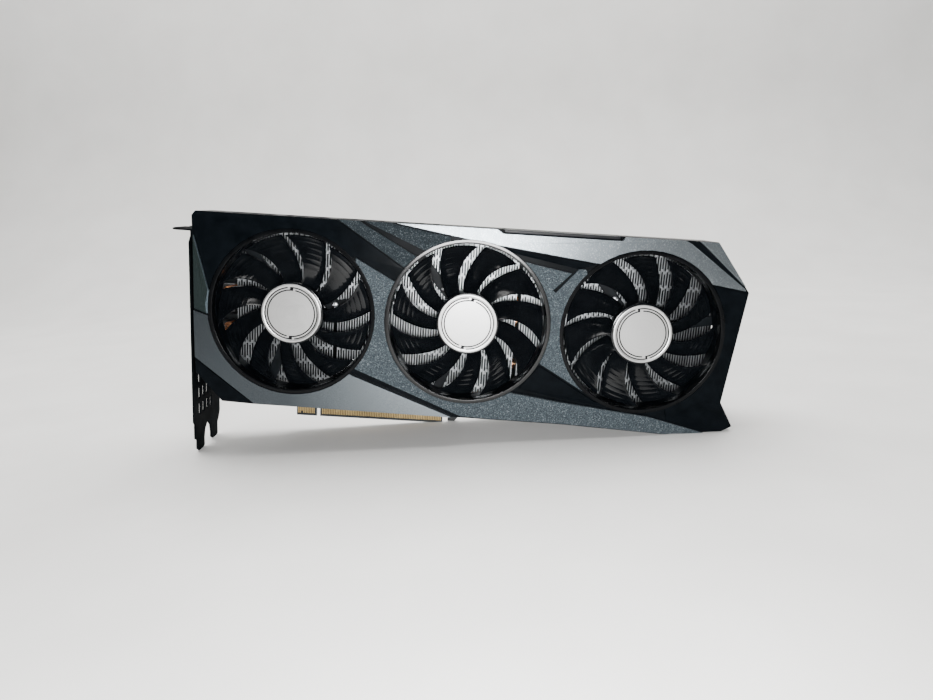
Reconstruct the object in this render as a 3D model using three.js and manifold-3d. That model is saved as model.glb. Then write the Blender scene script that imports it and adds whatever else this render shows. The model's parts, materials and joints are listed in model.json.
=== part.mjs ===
// A dual-slot graphics card with three axial fans, in millimetres.
// The row frame: +X runs along the card from the I/O bracket to the tail, +Z runs from the edge connector
// to the top of the shroud, and the fans face -Y. The origin is the middle of the long edge-connector
// tongue's bottom face, in the middle of the circuit board's thickness.
import * as THREE from "three";
import { mergeVertices } from "three/addons/utils/BufferGeometryUtils.js";
import Module from "manifold-3d";

const wasm = await Module();
wasm.setup();

// ---------- driving dimensions ----------
const FAN_PITCH = 89; // between neighbouring fan axes
const APERTURE_R = 42; // round opening in the front of the shroud
const DUCT_R = 39.9; // straight wall of the duct behind the opening
const BLADE_R = 38.9;
const HUB_R = 15.8;
const BLADES = 11;
const CLEAR = 0.3; // gap kept between neighbouring pieces

// The face frame has its origin where the middle fan's axis crosses the front plane: x to the tail,
// z up, and y counts depth into the card.
const FACE_X = 46.5;
const FACE_Z = 67.2;
const BOARD_FRONT = 44;
const BOARD_THICK = 1.6;
const FACE_Y = -(BOARD_FRONT + BOARD_THICK / 2);

// Depths behind the front plane.
const PANEL_BACK = 3.1;
const SHROUD_FRONT = PANEL_BACK + CLEAR;
const SHROUD_WALL = 1.8;
const DUCT_BACK = 14;
const SKIRT_BACK = 27;
const FIN_FRONT = 16.8;
const FIN_BACK = 33.6;
const PIPE_R = 3;
const PIPE_Y = FIN_BACK + CLEAR + PIPE_R;
const BACKPLATE_FRONT = 47.1;
const BACKPLATE_BACK = 48.3;

// Heights above the fan axes.
const TOP = 48;
const CONTACT_BOTTOM = -FACE_Z;
const BOARD_BOTTOM = CONTACT_BOTTOM + 8.25;
const BOARD_TOP = CONTACT_BOTTOM + 111.15;

// The I/O bracket.
const BRACKET_X = -143; // outer face
const BRACKET_SHEET = 0.9;
const BRACKET_Y0 = 9; // front edge
const SLOT_PITCH = 20.32;
const BRACKET_WIDTH = 18.42 + SLOT_PITCH;
const TONGUE_WIDTH = 10.19;
const TONGUE_TIP = CONTACT_BOTTOM - 14.4;
const FLANGE_TOP = TONGUE_TIP + 120.02;
const FLANGE_LENGTH = 11.43;

const BOARD_X0 = BRACKET_X + BRACKET_SHEET + CLEAR;
const BOARD_X1 = 84;
const GPU_X = -44;
const GPU_Z = -2;

const FAN_X = { left: -FAN_PITCH, middle: 0, right: FAN_PITCH };
const FAN_TURN = { left: 1, middle: -1, right: 1 }; // the middle fan is the mirror image
const FAN_PHASE = { left: 26.3, middle: 24, right: 8.4 }; // degrees, where each fan has come to rest

// ---------- materials ----------
const paint = (color, roughness, metalness = 0) => new THREE.MeshStandardMaterial({ color, roughness, metalness });
const MATERIAL = {
  shell: paint(0x14181c, 0.55),
  speckle: paint(0x39434a, 0.6, 0.2),
  silver: paint(0x8b949b, 0.38, 0.6),
  fan: paint(0x07090c, 0.15),
  cap: paint(0xd4d4d2, 0.35, 0.7),
  steel: paint(0x9a9ca0, 0.3, 1),
  fins: paint(0xa9adb2, 0.35, 1),
  copper: paint(0xb8693a, 0.3, 1),
  board: paint(0x0b0f12, 0.45),
  gold: paint(0xc9a05a, 0.3, 1),
  chip: paint(0x16181a, 0.4),
  bracket: paint(0x0d0e10, 0.4, 0.6),
  lens: paint(0x1b1d20, 0.2),
};

// ---------- solids ----------
function solid(geometry) {
  const g = new THREE.BufferGeometry();
  g.setAttribute("position", (geometry.index ? geometry.toNonIndexed() : geometry).getAttribute("position"));
  const m = mergeVertices(g, 1e-4);
  const made = (triVerts) =>
    new wasm.Manifold(new wasm.Mesh({ numProp: 3, vertProperties: m.attributes.position.array, triVerts }));
  const triangles = new Uint32Array(m.index.array);
  const first = made(triangles);
  if (first.volume() >= 0) return first;
  for (let i = 0; i < triangles.length; i += 3) {
    [triangles[i + 1], triangles[i + 2]] = [triangles[i + 2], triangles[i + 1]];
  }
  return made(triangles);
}

function geometryOf(manifold) {
  const mesh = manifold.getMesh();
  const g = new THREE.BufferGeometry();
  const positions = new Float32Array(mesh.numVert * 3);
  for (let i = 0; i < mesh.numVert; i++) {
    positions.set(mesh.vertProperties.subarray(i * mesh.numProp, i * mesh.numProp + 3), i * 3);
  }
  g.setAttribute("position", new THREE.BufferAttribute(positions, 3));
  g.setIndex(new THREE.BufferAttribute(mesh.triVerts, 1));
  return g;
}

const joined = (pieces) => pieces.reduce((all, piece) => all.add(piece));
const without = (body, cutters) => cutters.reduce((rest, cutter) => rest.subtract(cutter), body);

function box(x0, x1, y0, y1, z0, z1) {
  const g = new THREE.BoxGeometry(x1 - x0, y1 - y0, z1 - z0);
  return solid(g.translate((x0 + x1) / 2, (y0 + y1) / 2, (z0 + z1) / 2));
}

// A round bar along the depth axis.
function disc(x, z, r, y0, y1, segments = 24) {
  const g = new THREE.CylinderGeometry(r, r, y1 - y0, segments);
  return solid(g.translate(x, (y0 + y1) / 2, z));
}

// A turned piece whose axis runs along the depth axis; the profile holds [radius, depth] pairs.
function turned(x, z, profile, segments = 32) {
  const g = new THREE.LatheGeometry(profile.map(([r, y]) => new THREE.Vector2(r, y)), segments);
  return solid(g.translate(x, 0, z));
}

// A plate on the face: corners are [x, z] or [x, z, depth of the front surface there], counter-clockwise.
function plate(corners, front, back) {
  const n = corners.length;
  const outline = corners.map(([x, z]) => new THREE.Vector2(x, z));
  const triangles = THREE.ShapeUtils.triangulateShape(outline, []);
  const points = [
    ...corners.map(([x, z, y = front]) => [x, y, z]),
    ...corners.map(([x, z]) => [x, back, z]),
  ];
  const faces = [];
  for (const [a, b, c] of triangles) faces.push([a, b, c], [a + n, c + n, b + n]);
  for (let i = 0; i < n; i++) {
    const j = (i + 1) % n;
    faces.push([i, i + n, j + n], [i, j + n, j]);
  }
  const g = new THREE.BufferGeometry();
  g.setAttribute("position", new THREE.Float32BufferAttribute(points.flat(), 3));
  g.setIndex(faces.flat());
  return solid(g);
}

// The same corners, with every edge moved inwards by gap.
function inset(corners, gap) {
  const n = corners.length;
  const lines = corners.map(([x, z], i) => {
    const [u, w] = corners[(i + 1) % n];
    const length = Math.hypot(u - x, w - z);
    const [nx, nz] = [-(w - z) / length, (u - x) / length];
    return { px: x + nx * gap, pz: z + nz * gap, dx: u - x, dz: w - z };
  });
  return corners.map((corner, i) => {
    const a = lines[(i + n - 1) % n];
    const b = lines[i];
    const cross = a.dx * b.dz - a.dz * b.dx;
    const t = ((b.px - a.px) * b.dz - (b.pz - a.pz) * b.dx) / cross;
    return [a.px + a.dx * t, a.pz + a.dz * t, ...corner.slice(2)];
  });
}

function tube(points, radius, sides, steps) {
  const ring = new THREE.Shape();
  for (let i = 0; i < sides; i++) {
    const a = (2 * Math.PI * i) / sides;
    const [u, v] = [radius * Math.cos(a), radius * Math.sin(a)];
    if (i) ring.lineTo(u, v);
    else ring.moveTo(u, v);
  }
  ring.closePath();
  const path = new THREE.CatmullRomCurve3(points.map((p) => new THREE.Vector3(...p)), false, "catmullrom", 0.5);
  return solid(new THREE.ExtrudeGeometry(ring, { steps, bevelEnabled: false, extrudePath: path }));
}

// ---------- the assembly ----------
const card = new THREE.Group();
const face = new THREE.Group();
face.position.set(FACE_X, FACE_Y, FACE_Z);
card.add(face);

function add(name, body, material, parent = face, position = [0, 0, 0]) {
  const mesh = new THREE.Mesh(geometryOf(body), material);
  mesh.name = name;
  mesh.position.set(...position);
  parent.add(mesh);
}

// Bars that clear the three fan openings.
const fanXs = Object.values(FAN_X);
const openings = (r, y0, y1, segments = 48) => fanXs.map((x) => disc(x, 0, r, y0, y1, segments));

// ---------- shroud ----------
const WAIST = [134.5, -34.2];
const VERTEX = [141, 23.8];
const SHROUD_OUTLINE = [
  [-138.9, 45.8], [-138.6, -33.8], [-125.2, -48.7], [-108, -49.4], [-2, -50.4], [52, -51], [105, -53.3], [128.6, -51.8],
  [137, -49.8], [142, -46.8], WAIST, VERTEX, [122.4, TOP], [-137, TOP],
];

function shroud() {
  const shell = plate(SHROUD_OUTLINE, SHROUD_FRONT, SKIRT_BACK);
  const hollow = plate(inset(SHROUD_OUTLINE, 2), SHROUD_FRONT + SHROUD_WALL, SKIRT_BACK + 1);
  const ducts = fanXs.map((x) => disc(x, 0, DUCT_R + 2.2, SHROUD_FRONT + 1, DUCT_BACK, 48));
  const bores = fanXs.map((x) =>
    turned(x, 0, [[0, 0], [APERTURE_R + 1.8, 0], [DUCT_R, 6.8], [DUCT_R, DUCT_BACK + 1], [0, DUCT_BACK + 1]], 48));
  const topVents = [-112, -84, -56, -28].map((x) => box(x - 11, x + 11, 9, 22, TOP - 6, TOP + 1));
  const lightRecess = box(15, 74, SHROUD_FRONT - 1, 15, TOP - 1.9, TOP + 1);
  const plugRecess = box(42, 88, 25, SKIRT_BACK + 1, TOP - 6, TOP + 1);
  const bracketSide = box(-145, -136, 12, SKIRT_BACK + 1, -27, 36);
  const lowerVents = [-98, -70, -42].map((x) => box(x - 10, x + 10, 12, 22, -53, -44));
  const walled = joined([without(shell, [hollow]), ...ducts]);
  return without(walled, [...bores, ...topVents, lightRecess, plugRecess, bracketSide, ...lowerVents]);
}
add("shroud", shroud(), MATERIAL.shell);
add("light_bar", box(15.4, 73.6, SHROUD_FRONT + CLEAR, 14.6, TOP - 1.6, TOP - 0.1), MATERIAL.lens);

// ---------- panels on the face ----------
// Each polygon runs past the fan openings, which are then cut out of it. The third number is the depth
// of the front surface at that corner, so the panels are faceted.
const facePanels = {
  accent_top: {
    material: MATERIAL.silver,
    facets: [
      [[-40.2, TOP, 0.6], [-1.8, 42.1, 0.6], [12.6, 40.1, 0.6], [62.8, 34, 0.6], [90, 30, 0.6], [123.9, 26.6, 0.8],
        [138.8, 24.4, 1], [137.8, 26.1, 1], [108.5, 46.6, 0.7], [105.5, TOP, 0.7], [75.6, TOP, 0.6], [74, 46, 0.6],
        [15, 46, 0.6], [12, TOP, 0.6]],
    ],
  },
  accent_corner: {
    material: MATERIAL.silver,
    facets: [[[112.2, TOP, 0.7], [137.4, 27, 1.1], [138.5, 26.8, 1.1], [122, TOP, 0.9]]],
  },
  accent_lower: {
    material: MATERIAL.silver,
    facets: [
      [[-138.3, -1.1, 1.1], [-138.1, -25.5, 1.1], [-107.8, -48.7, 0.9], [-4.4, -49.8, 0], [-57.9, -30, 0.2],
        [-89, -10, 0.5], [-131.8, -3.1, 1]],
    ],
  },
  panel_left: {
    material: MATERIAL.shell,
    facets: [
      [[-138.4, 46, 2], [-137.6, 37.5, 2], [-130.3, 9.6, 0.9], [-89, 0, 0.9], [-58.1, 30.5, 0.9], [-37.1, 19.2, 0.9],
        [-33, 25.7, 0.9], [-67.5, TOP, 1.4], [-136.8, TOP, 1.9]],
    ],
  },
  trim_left: {
    material: MATERIAL.speckle,
    facets: [
      [[-137.8, 36.2, 1.7], [-132.3, 2, 1.6], [-120, 0, 1.2], [-130.7, 9.4, 1]],
      [[-138.2, 34.6, 2.6], [-138.4, -0.6, 2.7], [-131.9, -2.6, 1.6], [-120, 0, 1.2], [-132.3, 2, 1.6],
        [-137.8, 36.2, 1.7]],
    ],
  },
  band_upper: {
    material: MATERIAL.speckle,
    facets: [[[-66.9, TOP, 1.4], [-32.7, 25.9, 0.6], [-27, 32.3, 0.6], [-56.3, TOP, 1.4]]],
  },
  band_top: {
    material: MATERIAL.speckle,
    facets: [[[-54.4, TOP, 1.4], [-22.2, 34.6, 0.6], [-10.6, 40.9, 1], [-10.6, 43, 1], [-41.4, TOP, 2]]],
  },
  trim_upper: {
    material: MATERIAL.shell,
    facets: [[[12.9, 39.7, 0.8], [21, 36.3, 2.2], [53.7, 30.5, 2.2], [62.6, 33.5, 0.8]]],
  },
  panel_center_right: {
    material: MATERIAL.speckle,
    facets: [
      [[22.6, 33.6, 0.9], [20, 10, 0.9], [38.3, -18.9, 0.9], [68.1, -36, 1.4], [70, 0, 0.6], [57.4, 31, 0.6],
        [53.7, 30.9, 0.6], [43.2, 18.5, 0.8], [42, 19.5, 0.9], [50.9, 28.5, 1.4]],
    ],
  },
  panel_center_left: {
    material: MATERIAL.speckle,
    facets: [
      [[-57.2, 29.6, 0.9], [-58, -23.4, 0.6], [-30, -26.2, 0.6], [-30, 15, 0.9]],
      [[-58, -23.4, 0.6], [-57, -26.7, 0.9], [-0.8, -49.4, 2.2], [20, -49.9, 2.2], [27, -35.3, 0.8],
        [-30, -26.2, 0.6]],
      [[20, -49.9, 2.2], [52, -50.3, 2.2], [105, -52.7, 2.2], [128.2, -51.2, 2.4], [97.1, -43.8, 1.6],
        [50.3, -38.5, 0.8], [27, -35.3, 0.8]],
    ],
  },
  panel_center_lower: {
    material: MATERIAL.shell,
    facets: [
      [[38.3, -19.8, 1.8], [28, -32.9, 2.2], [50.2, -36.8, 2.2], [94, -42.4, 2], [68.2, -37, 1.6]],
    ],
  },
  panel_right: {
    material: MATERIAL.shell,
    facets: [
      [[107, -45.3, 2], [129.5, -49.3, 2.4], [133, -40.8, 2.2], [121, -33.8, 1.2], [100, -20, 1.6]],
      [[121, -33.8, 1.2], [133, -40.8, 2.2], [WAIST[0] - 0.8, WAIST[1], 2.6], [VERTEX[0] - 0.8, VERTEX[1] - 0.6, 2],
        [124, 26, 1], [110, 28, 1], [100, -20, 1.2]],
      [[133, -40.8, 2.2], [129.5, -49.3, 2.4], [136.6, -49.2, 2.7], [140.8, -46.7, 2.7],
        [WAIST[0] - 0.8, WAIST[1], 2.6]],
    ],
  },
  panel_lower_left: {
    material: MATERIAL.shell,
    facets: [[[-138.2, -26.2, 2], [-138.2, -33.4, 2.4], [-124.9, -48, 2.4], [-109, -48.6, 2]]],
  },
};
const HALF_GAP = 0.2;
for (const [name, { material, facets }] of Object.entries(facePanels)) {
  const outlines = facets.length > 1 ? facets : facets.map((corners) => inset(corners, HALF_GAP));
  const panel = joined(outlines.map((corners) => plate(corners, 0, PANEL_BACK)));
  add(name, without(panel, openings(APERTURE_R + 0.2, -1, PANEL_BACK + 1)), material);
}

// ---------- fans ----------
const HUB_FRONT = 1.7;
const HUB_BACK = 11.6;
const BLADE_LEAD = 3.1;
const BLADE_TRAIL = 11.4;
const BLADE_THICK = 1;
const SWEEP = THREE.MathUtils.degToRad(23);
const RADIAL_STEPS = 4;
const CHORD_STEPS = 2;

// One blade as a closed grid: it leads at the front, trails at the back and sweeps towards its tip.
function blade(turn, angle) {
  const root = HUB_R - 0.8;
  const points = [];
  for (const layer of [0, 1]) {
    for (let i = 0; i <= RADIAL_STEPS; i++) {
      const s = i / RADIAL_STEPS;
      const r = root + (BLADE_R - root) * s;
      const width = THREE.MathUtils.degToRad(27 - 16 * s * (1 - s));
      for (let j = 0; j <= CHORD_STEPS; j++) {
        const c = j / CHORD_STEPS;
        const a = angle + turn * (SWEEP * s ** 1.3 + width * (0.5 - c));
        const camber = 1.1 * Math.sin(Math.PI * c);
        const y = BLADE_LEAD + (BLADE_TRAIL - BLADE_LEAD - BLADE_THICK) * c + camber * (1 - c) + layer * BLADE_THICK;
        points.push([r * Math.cos(a), y, r * Math.sin(a)]);
      }
    }
  }
  const row = CHORD_STEPS + 1;
  const layerSize = row * (RADIAL_STEPS + 1);
  const at = (layer, i, j) => layer * layerSize + i * row + j;
  const faces = [];
  const quad = (a, b, c, d) => faces.push(a, b, c, a, c, d);
  for (let i = 0; i < RADIAL_STEPS; i++) {
    for (let j = 0; j < CHORD_STEPS; j++) {
      quad(at(0, i, j), at(0, i, j + 1), at(0, i + 1, j + 1), at(0, i + 1, j));
      quad(at(1, i, j), at(1, i + 1, j), at(1, i + 1, j + 1), at(1, i, j + 1));
    }
    quad(at(0, i, 0), at(0, i + 1, 0), at(1, i + 1, 0), at(1, i, 0));
    const k = CHORD_STEPS;
    quad(at(0, i, k), at(1, i, k), at(1, i + 1, k), at(0, i + 1, k));
  }
  for (let j = 0; j < CHORD_STEPS; j++) {
    const k = RADIAL_STEPS;
    quad(at(0, 0, j), at(1, 0, j), at(1, 0, j + 1), at(0, 0, j + 1));
    quad(at(0, k, j), at(0, k, j + 1), at(1, k, j + 1), at(1, k, j));
  }
  const g = new THREE.BufferGeometry();
  g.setAttribute("position", new THREE.Float32BufferAttribute(points.flat(), 3));
  g.setIndex(faces);
  return solid(g);
}

function rotor(turn, phase) {
  const hub = turned(0, 0, [
    [0, HUB_FRONT], [HUB_R - 0.5, HUB_FRONT], [HUB_R, HUB_FRONT + 0.6], [HUB_R, HUB_BACK], [HUB_R - 1.4, HUB_BACK],
    [HUB_R - 1.4, HUB_FRONT + 1.6], [2.6, HUB_FRONT + 1.6], [2.6, HUB_FRONT + 3.4], [1.3, HUB_FRONT + 3.4],
    [1.3, HUB_FRONT + 1.4], [0, HUB_FRONT + 1.4],
  ], 24);
  const blades = [];
  for (let i = 0; i < BLADES; i++) {
    blades.push(blade(turn, (2 * Math.PI * i) / BLADES + THREE.MathUtils.degToRad(phase)));
  }
  return joined([hub, ...blades]);
}

const CAP_R = 14.9;
const cap = () => turned(0, 0, [
  [0, 0.5], [CAP_R - 0.4, 0.5], [CAP_R, 0.8], [CAP_R, HUB_FRONT - CLEAR], [0, HUB_FRONT - CLEAR],
], 32);

const shaft = () => turned(0, 0, [
  [0, HUB_FRONT + 1.7], [1, HUB_FRONT + 1.7], [1, 14.4], [0, 14.4],
], 12);

// The still part of the motor: a laminated core of salient poles on a ring.
function stator() {
  const core = disc(0, 0, 7, 5.6, 11, 18);
  const poles = [];
  for (let i = 0; i < 6; i++) {
    const g = new THREE.BoxGeometry(7, 5.4, 4.6);
    g.translate(9, 8.3, 0);
    g.rotateY((Math.PI * i) / 3);
    poles.push(solid(g));
  }
  return without(joined([core, ...poles]), [disc(0, 0, 3.6, 5, 12, 18)]);
}

// The carrier that holds the motor: a round base with a bearing tube, and three arms to the duct.
const ARM_ANGLE = THREE.MathUtils.degToRad(110);
function carrier() {
  const base = disc(0, 0, 13.4, 12.4, 16.2, 24);
  const sleeve = disc(0, 0, 3.2, HUB_FRONT + 3.8, 13, 16);
  const arms = [];
  for (let i = 0; i < 3; i++) {
    const g = new THREE.BoxGeometry(32, 1.7, 5);
    g.translate(27.5, DUCT_BACK + CLEAR + 0.85, 0);
    g.rotateY(ARM_ANGLE + (2 * Math.PI * i) / 3);
    arms.push(solid(g));
  }
  return without(joined([base, sleeve, ...arms]), [disc(0, 0, 1.3, 0, 14.7, 12)]);
}

for (const [side, x] of Object.entries(FAN_X)) {
  const fan = new THREE.Group();
  fan.position.set(x, 0, 0);
  face.add(fan);
  add("fan_rotor_" + side, rotor(FAN_TURN[side], FAN_PHASE[side]), MATERIAL.fan, fan);
  add("fan_cap_" + side, cap(), MATERIAL.cap, fan);
  add("fan_shaft_" + side, shaft(), MATERIAL.steel, fan);
  add("fan_stator_" + side, stator(), MATERIAL.copper, fan);
  add("fan_carrier_" + side, carrier(), MATERIAL.shell, fan);
}

// ---------- heatsink ----------
const FIN_PITCH = 1.6;
const FIN_THICK = 0.35;
const FIN_WEB = 0.6;
const STACKS = {
  left: { x0: -121, x1: -69, z0: -40, z1: 42 },
  middle: { x0: -68.5, x1: 27, z0: -44, z1: 44 },
  right: { x0: 27.5, x1: 131.2, z0: -44, z1: 44 },
};

// A comb: thin fins across the card, joined by a web at the back.
function finStack({ x0, x1, z0, z1 }) {
  const shape = new THREE.Shape();
  shape.moveTo(x0, FIN_BACK);
  const fins = Math.floor((x1 - x0 - FIN_THICK) / FIN_PITCH);
  const web = FIN_BACK - FIN_WEB;
  for (let i = 0; i <= fins; i++) {
    const x = x0 + i * FIN_PITCH;
    if (i) shape.lineTo(x, web);
    shape.lineTo(x, FIN_FRONT);
    shape.lineTo(x + FIN_THICK, FIN_FRONT);
    shape.lineTo(x + FIN_THICK, i < fins ? web : FIN_BACK);
  }
  shape.closePath();
  const g = new THREE.ExtrudeGeometry(shape, { depth: z1 - z0, bevelEnabled: false, steps: 1 });
  return solid(g.translate(0, 0, z0));
}
const tailCorner = plate([[117, 60], [117, 40], [140, 10], [140, 60]], 0, 40);
for (const [side, stack] of Object.entries(STACKS)) {
  add("fin_stack_" + side, without(finStack(stack), [tailCorner]), MATERIAL.fins);
}

// Five heat pipes cross the processor side by side and spread over the fins on either side of it. Two of
// them turn forwards round the left end of the fins.
const PIPE_PITCH = 7;
const FIN_END = STACKS.left.x0;
const HOOK = [[FIN_END - 8.5, 25], [FIN_END - 7.2, 32], [FIN_END - 3.4, PIPE_Y - 0.4]]; // [x, depth]
const pipes = [
  { left: -98, spread: -27, right: 92, reach: -33 },
  { left: FIN_END + 4, spread: -13.5, right: 122, reach: -19, hooked: true },
  { left: -106, spread: -3.5, right: 118, reach: -4 },
  { left: FIN_END + 4, spread: 6, right: 122, reach: 10, hooked: true },
  { left: -98, spread: 19, right: 92, reach: 22 },
];
pipes.forEach(({ left, spread, right, reach, hooked }, i) => {
  const z = GPU_Z + (i - 2) * PIPE_PITCH;
  const hook = hooked ? HOOK.map(([x, y]) => [x, y, spread]) : [];
  const route = [
    ...hook, [left, PIPE_Y, spread], [GPU_X - 42, PIPE_Y, z + (spread - z) * 0.45], [GPU_X - 24, PIPE_Y, z],
    [GPU_X + 24, PIPE_Y, z], [GPU_X + 66, PIPE_Y, z + (reach - z) * 0.6], [right - 30, PIPE_Y, reach],
    [right, PIPE_Y, reach],
  ];
  add("heat_pipe_" + (i + 1), tube(route, PIPE_R, 8, hooked ? 22 : 14), MATERIAL.copper);
});

const PLATE_FRONT = PIPE_Y + PIPE_R + CLEAR;
const DIE_FRONT = BOARD_FRONT - 2;
add("cold_plate", box(GPU_X - 27, GPU_X + 27, PLATE_FRONT, DIE_FRONT - 0.2, GPU_Z - 27, GPU_Z + 27), MATERIAL.copper);

// ---------- circuit board ----------
const DIE = 10;
const SUBSTRATE = 20;
const SUBSTRATE_FRONT = BOARD_FRONT - 1.3;
const boxAt = (x, z, halfX, halfZ, y0, y1) => box(x - halfX, x + halfX, y0, y1, z - halfZ, z + halfZ);
const die = boxAt(GPU_X, GPU_Z, DIE, DIE, DIE_FRONT, SUBSTRATE_FRONT + 0.2);
const substrate = boxAt(GPU_X, GPU_Z, SUBSTRATE, SUBSTRATE, SUBSTRATE_FRONT, BOARD_FRONT - 0.1);
add("gpu_package", joined([die, substrate]), MATERIAL.chip);

// The edge connector: a short tongue, the key notch and a long tongue.
const TONGUE_X0 = -FACE_X - 49.4;
const SHORT_TONGUE = 11.65;
const KEY = 1.9;
const LONG_TONGUE = 71.65;
const KEY_X0 = TONGUE_X0 + SHORT_TONGUE;
const LONG_X0 = KEY_X0 + KEY;
const TONGUE_X1 = LONG_X0 + LONG_TONGUE;

const COOLER_SCREW = 32; // half the spacing of the four spring screws round the processor
const coolerScrews = [[-1, -1], [1, -1], [1, 1], [-1, 1]].map(([u, w]) => [
  GPU_X + u * COOLER_SCREW, GPU_Z + w * COOLER_SCREW,
]);
const plateScrews = [[-128, 34], [-128, -42], [76, 34], [76, -50]];

function circuitBoard() {
  const board = plate([
    [BOARD_X0, BOARD_BOTTOM + 4], [BOARD_X0 + 8, BOARD_BOTTOM + 4], [BOARD_X0 + 8, BOARD_BOTTOM],
    [TONGUE_X0, BOARD_BOTTOM], [TONGUE_X0, CONTACT_BOTTOM], [KEY_X0, CONTACT_BOTTOM], [KEY_X0, CONTACT_BOTTOM + 7.5],
    [LONG_X0, CONTACT_BOTTOM + 7.5], [LONG_X0, CONTACT_BOTTOM], [TONGUE_X1, CONTACT_BOTTOM],
    [TONGUE_X1, BOARD_BOTTOM], [TONGUE_X1 + 3, BOARD_BOTTOM], [TONGUE_X1 + 3, CONTACT_BOTTOM + 1.5],
    [TONGUE_X1 + 7, CONTACT_BOTTOM + 1.5], [TONGUE_X1 + 9, CONTACT_BOTTOM + 4], [TONGUE_X1 + 9, BOARD_BOTTOM],
    [BOARD_X1, BOARD_BOTTOM], [BOARD_X1, BOARD_TOP], [BOARD_X0, BOARD_TOP],
  ], BOARD_FRONT, BOARD_FRONT + BOARD_THICK);
  const holes = [...coolerScrews, ...plateScrews].map(([x, z]) => disc(x, z, 1.9, BOARD_FRONT - 1, BACKPLATE_BACK, 12));
  return without(board, holes);
}
add("circuit_board", circuitBoard(), MATERIAL.board);

// The gold contact strip on each side of the tongues, joined above the key notch.
function contactStrip(y0, y1) {
  const strip = box(TONGUE_X0 + 0.5, TONGUE_X1 - 0.5, y0, y1, CONTACT_BOTTOM + 0.6, CONTACT_BOTTOM + 8);
  return without(strip, [box(KEY_X0 - 0.4, LONG_X0 + 0.4, y0 - 1, y1 + 1, CONTACT_BOTTOM, CONTACT_BOTTOM + 7.7)]);
}
const BOARD_BACK = BOARD_FRONT + BOARD_THICK;
add("contacts_front", contactStrip(BOARD_FRONT - 0.1, BOARD_FRONT - 0.02), MATERIAL.gold);
add("contacts_back", contactStrip(BOARD_BACK + 0.02, BOARD_BACK + 0.1), MATERIAL.gold);

// Three memory chips stand in a row above the processor, under one strip of thermal pad.
const CHIP_FRONT = BOARD_FRONT - 1.1;
function memoryRow() {
  const chips = [-1, 0, 1].map((i) => boxAt(GPU_X + i * 17, GPU_Z + 36, 7, 6, CHIP_FRONT, BOARD_FRONT - 0.1));
  const pad = boxAt(GPU_X, GPU_Z + 36, 24, 4, CHIP_FRONT - 0.9, CHIP_FRONT + 0.1);
  return joined([pad, ...chips]);
}
add("memory_row", memoryRow(), MATERIAL.chip);

// Power sockets open upwards at the board's top edge.
const SOCKET_WALL = 1.1;
function powerSocket(x, columns) {
  const half = columns * 2.1 + SOCKET_WALL;
  const [y0, y1] = [FIN_BACK + 0.5, BOARD_FRONT - 0.1];
  const [z0, z1] = [BOARD_TOP - 13, BOARD_TOP + 1.2];
  const hollow = box(x - half + SOCKET_WALL, x + half - SOCKET_WALL, y0 + SOCKET_WALL, y1 - SOCKET_WALL, z0 + 3, z1 + 1);
  return without(box(x - half, x + half, y0, y1, z0, z1), [hollow]);
}
add("power_socket_8", powerSocket(72, 4), MATERIAL.chip);
add("power_socket_6", powerSocket(53.6, 3), MATERIAL.chip);

// ---------- display ports and the bracket ----------
const PORT_WALL = 0.5;
const PORT_DEPTH = 13;
const ports = [
  { z: 22, half: 8.1, high: 5.2 },
  { z: 0, half: 8.1, high: 5.2 },
  { z: -20, half: 7.2, high: 5 },
  { z: -40, half: 7.2, high: 5 },
];
const PORT_BACK = BOARD_FRONT - 1.6;
const PORT_X0 = BRACKET_X + BRACKET_SHEET + CLEAR;
ports.forEach(({ z, half, high }, i) => {
  const [y0, y1] = [PORT_BACK - high - 2 * PORT_WALL, PORT_BACK];
  const shell = box(PORT_X0, PORT_X0 + PORT_DEPTH, y0, y1, z - half - PORT_WALL, z + half + PORT_WALL);
  const mouth = box(PORT_X0 - 1, PORT_X0 + PORT_DEPTH - 1, y0 + PORT_WALL, y1 - PORT_WALL, z - half, z + half);
  add("video_port_" + (i + 1), without(shell, [mouth]), MATERIAL.steel);
});

// A plate that stands across the card: corners are [depth, z].
function crossPlate(corners, x0, x1) {
  const shape = new THREE.Shape(corners.map(([y, z]) => new THREE.Vector2(y, z)));
  const g = new THREE.ExtrudeGeometry(shape, { depth: x1 - x0, bevelEnabled: false });
  const [alongX, alongY, alongZ] = [[1, 0, 0], [0, 1, 0], [0, 0, 1]].map((v) => new THREE.Vector3(...v));
  g.applyMatrix4(new THREE.Matrix4().makeBasis(alongY, alongZ, alongX));
  return solid(g.translate(x0, 0, 0));
}

// Two slot plates in one sheet. It narrows to two tongues, and has a flange with two screw notches, rows of
// vents and the port windows.
const TONGUE_Y = (SLOT_PITCH - TONGUE_WIDTH) / 2 - 0.95;
function bracketOutline() {
  const [t0, t1] = [TONGUE_Y, TONGUE_Y + TONGUE_WIDTH];
  const gap = (t1 + t0 + SLOT_PITCH) / 2;
  const fromCorner = [
    [t0, 1.9], [t0 + 2.4, 0.3], [t1 - 2.6, 0], [t1, 0.7], [t1, 5], [t1 + 1.3, 9.5], [gap, 13.4],
    [t0 + SLOT_PITCH - 1.3, 9.5], [t0 + SLOT_PITCH, 5], [t0 + SLOT_PITCH, 1.9], [t0 + SLOT_PITCH + 2.4, 0.3],
    [t1 + SLOT_PITCH - 2.6, 0], [t1 + SLOT_PITCH, 0.7], [t1 + SLOT_PITCH, 7.5], [t1 + SLOT_PITCH + 2.2, 10],
    [BRACKET_WIDTH, 13.6], [BRACKET_WIDTH, 120.02], [2.6, 120.02], [2.6, 116.5], [0, 113.4], [0, 18], [1.5, 16.5],
    [1.5, 8.4], [t0, 7],
  ];
  return fromCorner.map(([y, z]) => [BRACKET_Y0 + y, TONGUE_TIP + z]);
}

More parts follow.
